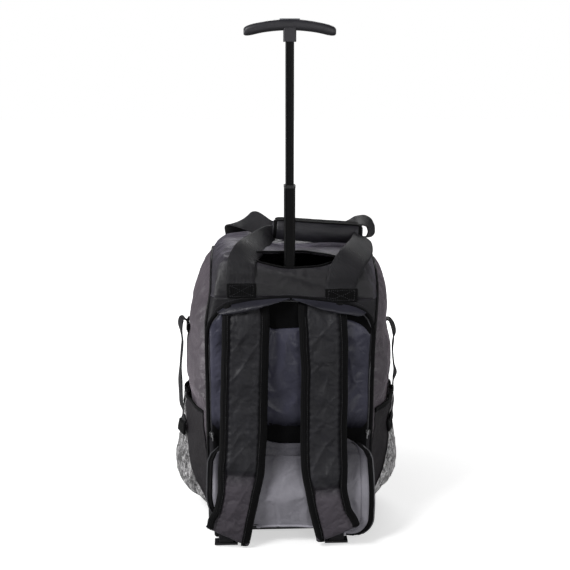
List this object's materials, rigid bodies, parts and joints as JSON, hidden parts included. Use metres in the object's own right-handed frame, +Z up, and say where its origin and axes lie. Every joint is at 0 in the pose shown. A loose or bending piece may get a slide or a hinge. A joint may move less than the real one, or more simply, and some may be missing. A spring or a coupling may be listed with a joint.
{
  "type": "bowling ball bag",
  "caption": "Wheeled backpack bag for a bowling ball, with an arched strap bay and hanging flap, padded shoulder straps, top and side grab loops, mesh side pockets and a pull handle.",
  "frame": {"origin": "on the floor under the middle of the whole bag, which is also under the middle of its body between the back and front panels", "axes": "+Z up, -Y out of the back panel that carries the shoulder straps and wheels, +X to the right when looking at that panel"},
  "size_m": [0.426, 0.402, 0.9308],
  "materials": {
    "fabric_black": "woven polyester, matt",
    "fabric_side": "woven polyester with a satin sheen",
    "lining_grey": "satin lining",
    "lining_dark": "satin lining over foam",
    "webbing_black": "ribbed webbing",
    "strap_fabric": "padded fabric",
    "mesh_grey": "open mesh",
    "piping_black": "corded piping",
    "zip_tape": "coil zip",
    "zip_metal": "plated",
    "plastic_black": "fine texture",
    "button_grey": "smooth",
    "tyre_rubber": "matt",
    "tube_black": "satin paint",
    "steel": "plain",
    "board": "plain sheet",
    "foam_dark": "closed-cell foam"
  },
  "bodies": {
    "bag": {"back_anchor_patches": "webbing_black", "back_pad": "lining_dark", "back_panel": "fabric_black", "base_panel": "fabric_black", "divider_shelf": "lining_dark", "door_zip_tape": "zip_tape", "floor_board": "board", "foam_ball_cup": "foam_dark", "front_anchor_patches": "webbing_black", "front_feet": "plastic_black", "front_panel": "fabric_black", "left_axle": "steel", "left_gusset": "fabric_side", "left_mesh_pocket": "mesh_grey", "left_piping": "piping_black", "liner_board": "board", "outer_tube": "tube_black", "outer_tube_collar": "plastic_black", "pocket_bindings": "webbing_black", "right_axle": "steel", "right_gusset": "fabric_side", "right_mesh_pocket": "mesh_grey", "right_piping": "piping_black", "side_handle_patches": "webbing_black", "stow_zip_tape_bag": "zip_tape", "top_panel": "fabric_black", "tube_socket": "plastic_black", "wheel_carriage": "plastic_black"},
    "left_wheel": {"left_wheel_hub": "plastic_black", "left_tyre": "tyre_rubber"},
    "right_wheel": {"right_wheel_hub": "plastic_black", "right_tyre": "tyre_rubber"},
    "trolley_mid": {"mid_tube": "tube_black", "mid_tube_collar": "plastic_black"},
    "trolley_inner": {"inner_tube": "tube_black", "inner_tube_guide": "plastic_black", "grip": "plastic_black", "button_spring": "steel"},
    "button": {"grip_button": "button_grey", "lock_rod": "steel"},
    "carry_handle": {"carry_webbing_back": "webbing_black", "carry_webbing_front": "webbing_black", "carry_wrap": "strap_fabric"},
    "left_side_loop": {"left_side_handle": "webbing_black"},
    "right_side_loop": {"right_side_handle": "webbing_black"},
    "left_strap": {"left_shoulder_strap": "strap_fabric", "left_strap_buckle": "plastic_black", "left_strap_webbing": "webbing_black"},
    "right_strap": {"right_shoulder_strap": "strap_fabric", "right_strap_buckle": "plastic_black", "right_strap_webbing": "webbing_black"},
    "flap": {"stow_flap": "lining_grey", "stow_zip_tape_flap": "zip_tape"},
    "left_stow_slider": {"left_stow_zip_slider": "zip_metal"},
    "right_stow_slider": {"right_stow_zip_slider": "zip_metal"},
    "door": {"front_door": "fabric_black", "front_pocket": "fabric_black", "pocket_zip": "zip_tape", "door_zip_sliders": "zip_metal"}
  },
  "joints": [
    {"name": "trolley_stage_one", "type": "slide", "parent": "bag", "child": "trolley_mid", "axis": [0, 0, 1], "range_m": [-0.112, 0]},
    {"name": "trolley_stage_two", "type": "slide", "parent": "trolley_mid", "child": "trolley_inner", "axis": [0, 0, 1], "range_m": [-0.236, 0]},
    {"name": "button_press", "type": "slide", "parent": "trolley_inner", "child": "button", "axis": [0, 0, 1], "range_m": [-0.0016, 0], "stiffness_N_per_m": 300, "deforming": ["button_spring"]},
    {"name": "left_wheel_spin", "type": "hinge", "parent": "bag", "child": "left_wheel", "pos_m": [-0.128, -0.138, 0.038], "axis": [1, 0, 0], "continuous": true},
    {"name": "right_wheel_spin", "type": "hinge", "parent": "bag", "child": "right_wheel", "pos_m": [0.128, -0.138, 0.038], "axis": [1, 0, 0], "continuous": true},
    {"name": "flap_fold", "type": "hinge", "parent": "bag", "child": "flap", "pos_m": [0, -0.1498, 0.192], "axis": [-1, 0, 0], "range_deg": [0, 155]},
    {"name": "left_strap_lift", "type": "hinge", "parent": "bag", "child": "left_strap", "pos_m": [-0.078, -0.148, 0.444], "axis": [-1, 0, 0], "range_deg": [0, 112]},
    {"name": "right_strap_lift", "type": "hinge", "parent": "bag", "child": "right_strap", "pos_m": [0.054, -0.148, 0.444], "axis": [-1, 0, 0], "range_deg": [0, 112]},
    {"name": "carry_handle_lift", "type": "slide", "parent": "bag", "child": "carry_handle", "axis": [0, 0, 1], "range_m": [0, 0.018]},
    {"name": "left_side_handle_swing", "type": "hinge", "parent": "bag", "child": "left_side_loop", "pos_m": [-0.193, 0, 0.28], "axis": [0, 0, 1], "range_deg": [-10, 10]},
    {"name": "right_side_handle_swing", "type": "hinge", "parent": "bag", "child": "right_side_loop", "pos_m": [0.193, 0, 0.28], "axis": [0, 0, 1], "range_deg": [-10, 10]},
    {"name": "left_stow_zip_run", "type": "slide", "parent": "bag", "child": "left_stow_slider", "axis": [0, 0, 1], "range_m": [0, 0.18]},
    {"name": "right_stow_zip_run", "type": "slide", "parent": "bag", "child": "right_stow_slider", "axis": [0, 0, 1], "range_m": [0, 0.18]},
    {"name": "door_open", "type": "hinge", "parent": "bag", "child": "door", "pos_m": [0, 0.1412, 0.0905], "axis": [-1, 0, 0], "range_deg": [0, 92]}
  ],
  "couplings": [
    {"joint": "left_strap_lift", "follows": "flap_fold", "ratio": 0.72},
    {"joint": "right_strap_lift", "follows": "flap_fold", "ratio": 0.72}
  ]
}
